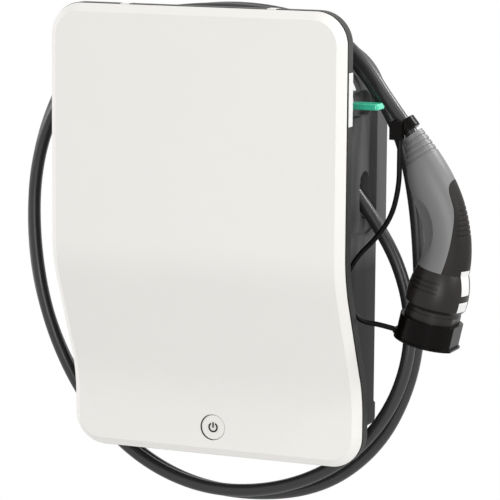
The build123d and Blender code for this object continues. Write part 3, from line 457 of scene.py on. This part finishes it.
# Blank labels on the right: name, nodes under it, a place to the right of it, width and height
for name, under, spot, width, height in (
    ("frame_label", ["front_frame"], (180.0, -152.4, 151.5), 12.0, 54.5),
    ("lock_label", ["rear_housing"], (160.0, -71.0, 158.0), 7.5, 11.0),
    ("nose_label_upper", ["connector_nose", "connector_grip"], (300.0, -111.4, -34.3), 13.6, 25.5),
    ("nose_label_lower", ["connector_nose"], (300.0, -111.9, -59.0), 15.4, 10.0),
):
    thin_plate(name, under, spot, width, height, label_white)

# White ends of the cover's two hooks, over the top of the frame
hook_x = 82.0
hook_end_y = -153.2
hook_end_w = 9.8
hook_end_d = 14.8
above_frame_z = 260.0
for name, x in (("hook_end_left", -hook_x), ("hook_end_right", hook_x)):
    thin_plate(
        name, ["front_frame", "front_cover"], (x, hook_end_y, above_frame_z), hook_end_w, hook_end_d,
        white_cover, toward=(0, 0, 1), upright=(0, 1, 0),
    )

# Power symbol on the button: a broken ring and a bar, slightly raised
button_z = -208.5
button_face_y = -113.7
symbol_r = 4.6
symbol_line = 0.85
gap_half = 2.5
bar_h = 6.0
bar_rise = 2.6
bar_edge = 0.2
deselect()
bpy.ops.mesh.primitive_torus_add(
    location=(0, button_face_y * MM, button_z * MM), rotation=(radians(90), 0, 0),
    major_radius=symbol_r * MM, minor_radius=symbol_line * MM, major_segments=72, minor_segments=12,
)
ring = bpy.context.object
apply_place(ring)
bpy.ops.object.mode_set(mode="EDIT")
bpy.ops.mesh.select_all(action="DESELECT")
bpy.ops.object.mode_set(mode="OBJECT")
for face in ring.data.polygons:
    above = face.center.z - button_z * MM
    face.select = above > 0 and abs(face.center.x) < gap_half * MM
bpy.ops.object.mode_set(mode="EDIT")
bpy.ops.mesh.delete(type="FACE")
bpy.ops.mesh.select_all(action="SELECT")
bpy.ops.mesh.fill_holes(sides=0)
deselect()
bpy.ops.mesh.primitive_cylinder_add(
    vertices=12, radius=symbol_line * MM, depth=bar_h * MM,
    location=(0, button_face_y * MM, (button_z + bar_rise) * MM),
)
bar = bpy.context.object
apply_modifier(bar, "BEVEL", width=bar_edge * MM, segments=3, angle_limit=blunt_angle)
pick(ring, bar)
bpy.ops.object.join()
smooth(ring)
settle(ring, "power_symbol", symbol_and_painted_shadow_grey, "button")

# Painted shadow of the button's gap: a dark arc on the cover round the left of the button, thinner towards
# its ends
arc_r = 13.9
arc_line = 0.68
arc_start = 75
arc_sweep = 225
arc_steps = 18
arc_end_share = 0.1
arc_angles = [radians(arc_start + arc_sweep * step / arc_steps) for step in range(arc_steps + 1)]
arc_points = [(arc_r * cos(angle), button_face_y, button_z + arc_r * sin(angle)) for angle in arc_angles]
arc = round_line("button_gap_painted_shadow", arc_points, arc_line)
for step, spot in enumerate(arc.data.splines[0].points):
    spot.radius = arc_end_share + (1 - arc_end_share) * sin(pi * step / arc_steps)
settle(as_mesh(arc), "button_gap_painted_shadow", symbol_and_painted_shadow_grey, "wallbox")

# Pale floor well below the part
floor_r = 1.6
floor_z = -0.80
deselect()
bpy.ops.mesh.primitive_circle_add(vertices=96, radius=floor_r, fill_type="NGON", location=(0, 0, floor_z))
floor = bpy.context.object
floor.name = "studio_floor"
paint(floor, moulded("studio floor", grey(0.72), rough=0.7, grain=3 * MM, depth=0.02 * MM, mottle=0.01))

# White surroundings for the camera and for reflections, and an even soft light
white_level = 1.0
soft_level = 0.50
world = bpy.data.worlds.new("studio")
bpy.context.scene.world = world
world.use_nodes = True
sky = Graph(world.node_tree)
camera_ray, glossy_ray, clear_ray = (
    sky.node("ShaderNodeLightPath", out=kind)
    for kind in ("Is Camera Ray", "Is Glossy Ray", "Is Transmission Ray")
)
seen = camera_ray + glossy_ray + clear_ray
strength = sky.node(
    "ShaderNodeMapRange", sockets={"Value": seen, "To Min": soft_level, "To Max": white_level}
)
background = sky.tree.nodes["Background"]
background.inputs["Color"].default_value = (1, 1, 1, 1)
sky.tree.links.new(strength.socket, background.inputs["Strength"])


def soft_box(name, spot, size, power):
    """Square lamp that faces the part."""
    lamp = bpy.data.lights.new(name, "AREA")
    lamp.size = size
    lamp.energy = power
    holder = bpy.data.objects.new(name, lamp)
    holder.location = spot
    holder.rotation_euler = (-Vector(spot)).to_track_quat("-Z", "Y").to_euler()
    bpy.context.scene.collection.objects.link(holder)


soft_box("front light", spot=(1.15, -3.0, 0.1), size=1.2, power=25.5)
soft_box("left light", spot=(-2.8, -0.8, 0.9), size=1.2, power=37.0)
soft_box("right light", spot=(2.6, -0.6, 0.9), size=1.0, power=20.5)
soft_box("top light", spot=(1.3, -0.7, 2.0), size=0.3, power=8.5)
soft_box("rear light", spot=(1.4, 0.9, 1.6), size=0.5, power=28.0)

# Camera where the photograph was taken from
yaw, pitch, roll = radians(22.71), radians(9.06), radians(0.44)
target = Vector((0.0353, -0.085, -0.0276))
distance = 3.039
ahead = Vector((-sin(yaw) * cos(pitch), cos(yaw) * cos(pitch), -sin(pitch)))
level = Vector((cos(yaw), sin(yaw), 0))
upright = level.cross(ahead)
to_right = level * cos(roll) + upright * sin(roll)
to_top = upright * cos(roll) - level * sin(roll)
axes = Matrix((to_right, to_top, -ahead)).transposed().to_4x4()
camera_data = bpy.data.cameras.new("camera")
camera_data.sensor_width = 36.0
camera_data.lens = 207.3
camera_data.shift_x = -0.0110
camera_data.shift_y = 0.0146
camera = bpy.data.objects.new("camera", camera_data)
camera.matrix_world = Matrix.Translation(target - ahead * distance) @ axes
bpy.context.scene.collection.objects.link(camera)
bpy.context.scene.camera = camera
bpy.context.scene.view_settings.view_transform = "Standard"
